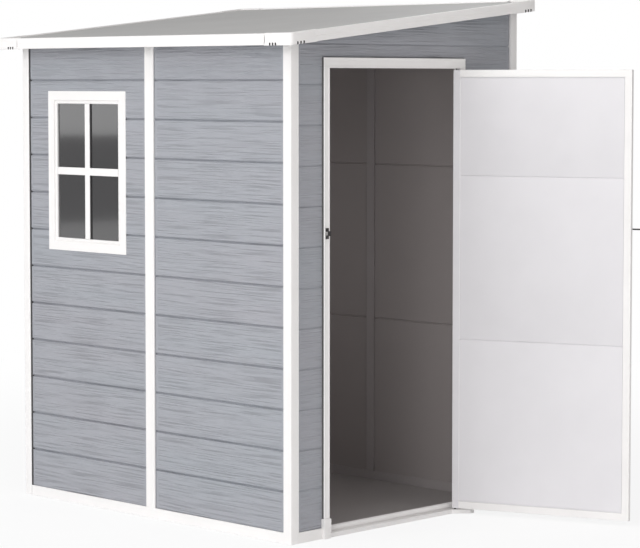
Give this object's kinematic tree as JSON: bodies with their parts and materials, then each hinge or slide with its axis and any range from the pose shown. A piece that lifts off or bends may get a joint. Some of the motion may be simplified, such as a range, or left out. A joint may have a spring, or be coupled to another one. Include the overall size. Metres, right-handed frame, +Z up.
{
  "type": "lean-to resin garden tool shed",
  "caption": "Small lean-to garden tool shed of grey plank-embossed resin panels with white corner posts and trims, a window at the front and a hinged door in one end wall.",
  "frame": {"origin": "on the ground at the centre of the footprint over the corner posts", "axes": "+Z up, -Y out of the low front wall with the window, +X out of the end wall with the door"},
  "size_m": [2.316, 1.374, 2.0102],
  "materials": {
    "wall_panel": "matt, embossed as grained planks",
    "white_trim": "satin white",
    "roof_panel": "matt grey",
    "floor_deck": "matt grey",
    "black_metal": "satin black",
    "glazing": "clear, slightly grey"
  },
  "bodies": {
    "shed": {"floor_deck": "floor_deck", "front_base_rail": "white_trim", "back_base_rail": "white_trim", "blind_end_base_rail": "white_trim", "door_end_base_rails": "white_trim", "threshold": "white_trim", "latch_foot": "white_trim", "hinge_foot": "white_trim", "front_door_post": "white_trim", "front_blind_post": "white_trim", "back_door_post": "white_trim", "back_blind_post": "white_trim", "front_joint_strip": "white_trim", "back_joint_strip": "white_trim", "blind_end_joint_strip": "white_trim", "front_window_panel": "wall_panel", "front_plain_panel": "wall_panel", "back_door_side_panel": "wall_panel", "back_blind_side_panel": "wall_panel", "blind_end_front_panel": "wall_panel", "blind_end_back_panel": "wall_panel", "door_end_front_panel": "wall_panel", "door_end_back_panel": "wall_panel", "over_door_panel": "wall_panel", "door_head": "white_trim", "latch_jamb": "white_trim", "hinge_jamb": "white_trim", "bolt_keeper": "black_metal", "window_frame": "white_trim", "window_bars": "white_trim", "window_pane": "glazing", "window_inner_frame": "white_trim", "roof_panel_door_side": "roof_panel", "roof_panel_blind_side": "roof_panel", "front_fascia": "white_trim", "back_fascia": "white_trim", "door_end_fascia": "white_trim", "blind_end_fascia": "white_trim", "roof_corner_caps": "white_trim"},
    "door": {"door_border_frame": "white_trim", "door_inner_sheet": "white_trim", "door_outer_panel": "wall_panel", "door_pivot_pins": "black_metal", "bolt_body": "black_metal"},
    "bolt": {"bolt_rod": "black_metal"}
  },
  "joints": [
    {"name": "door_hinge", "type": "hinge", "parent": "shed", "child": "door", "pos_m": [0.7685, 0.2745, 0], "axis": [0, 0, 1], "range_deg": [-111, 0]},
    {"name": "bolt_slide", "type": "slide", "parent": "door", "child": "bolt", "axis": [-0.9336, -0.3584, 0], "range_m": [0, 0.053]}
  ]
}
